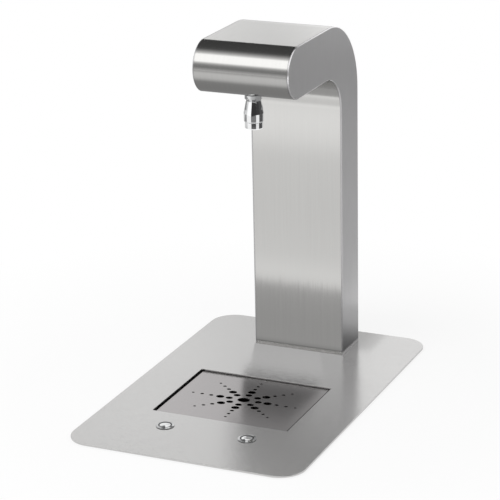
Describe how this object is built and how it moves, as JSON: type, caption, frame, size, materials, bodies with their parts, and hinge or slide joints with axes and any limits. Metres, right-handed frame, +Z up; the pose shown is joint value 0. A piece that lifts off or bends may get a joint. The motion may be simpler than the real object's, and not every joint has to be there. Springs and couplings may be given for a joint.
{
  "type": "water dispensing tower",
  "caption": "Drop-in water tower: hook-shaped sheet steel column with one spout, a drip well under a star-pierced grille, and push buttons in the deck plate.",
  "frame": {"origin": "centre of the counter face, which is the underside of the seal round the deck plate", "axes": "+Z up out of the counter, +X to the user's right, +Y away from the user towards the column"},
  "size_m": [0.3, 0.458, 0.535],
  "materials": {
    "deck_steel": "brushed across the width",
    "cheek_steel": "fine satin, brushed along the height",
    "skin_steel": "brushed along the sheet",
    "grille_steel": "smooth dark satin",
    "well_steel": "plain mill finish",
    "plain_steel": "plain stainless",
    "chrome": "polished chrome plate",
    "button_chrome": "polished",
    "spring_steel": "drawn wire",
    "brass": "turned",
    "nickel": "nickel plate, satin",
    "rubber": "black moulded rubber",
    "white_plastic": "moulded",
    "black_plastic": "moulded",
    "blue_line": "extruded polyethylene",
    "clear_line": "extruded polyethylene, milky"
  },
  "bodies": {
    "tower": {"base_plate": "deck_steel", "left_cheek": "cheek_steel", "right_cheek": "cheek_steel", "front_skin": "skin_steel", "outer_skin": "skin_steel", "drip_well": "well_steel", "front_rest": "well_steel", "rear_rest": "well_steel", "waste_body": "well_steel", "foot_plate": "plain_steel", "clamp_plate": "plain_steel", "foot_studs": "plain_steel", "foot_washers": "plain_steel", "foot_nuts": "plain_steel", "worktop_studs": "plain_steel", "shank_washer": "plain_steel", "left_button_nut": "plain_steel", "right_button_nut": "plain_steel", "spout_collar": "chrome", "nozzle_body": "chrome", "outlet_ring": "chrome", "left_button_housing": "button_chrome", "right_button_housing": "button_chrome", "left_button_spring": "spring_steel", "right_button_spring": "spring_steel", "spout_shank": "brass", "shank_nut": "brass", "left_button_terminals": "brass", "right_button_terminals": "brass", "still_union": "nickel", "sparkling_union": "nickel", "union_nuts": "nickel", "counter_seal": "rubber", "waste_seal": "rubber", "spout_seal": "rubber", "outlet_washer": "rubber", "left_button_seal": "rubber", "right_button_seal": "rubber", "waste_nut": "white_plastic", "hose_tail": "white_plastic", "branch_fitting": "white_plastic", "line_saddles": "white_plastic", "flow_insert": "white_plastic", "left_button_switch": "black_plastic", "right_button_switch": "black_plastic", "still_line": "blue_line", "sparkling_line": "clear_line"},
    "grille": {"drain_grille": "grille_steel"},
    "left_cap": {"left_button_cap": "button_chrome"},
    "right_cap": {"right_button_cap": "button_chrome"}
  },
  "joints": [
    {"name": "left_button_press", "type": "slide", "parent": "tower", "child": "left_cap", "axis": [0, 0, -1], "range_m": [0, 0.002], "stiffness_N_per_m": 1500, "springref_m": -0.001, "deforming": ["left_button_spring"]},
    {"name": "right_button_press", "type": "slide", "parent": "tower", "child": "right_cap", "axis": [0, 0, -1], "range_m": [0, 0.002], "stiffness_N_per_m": 1500, "springref_m": -0.001, "deforming": ["right_button_spring"]},
    {"name": "grille_lift", "type": "slide", "parent": "tower", "child": "grille", "axis": [0, 0, 1], "range_m": [0, 0.06]}
  ]
}
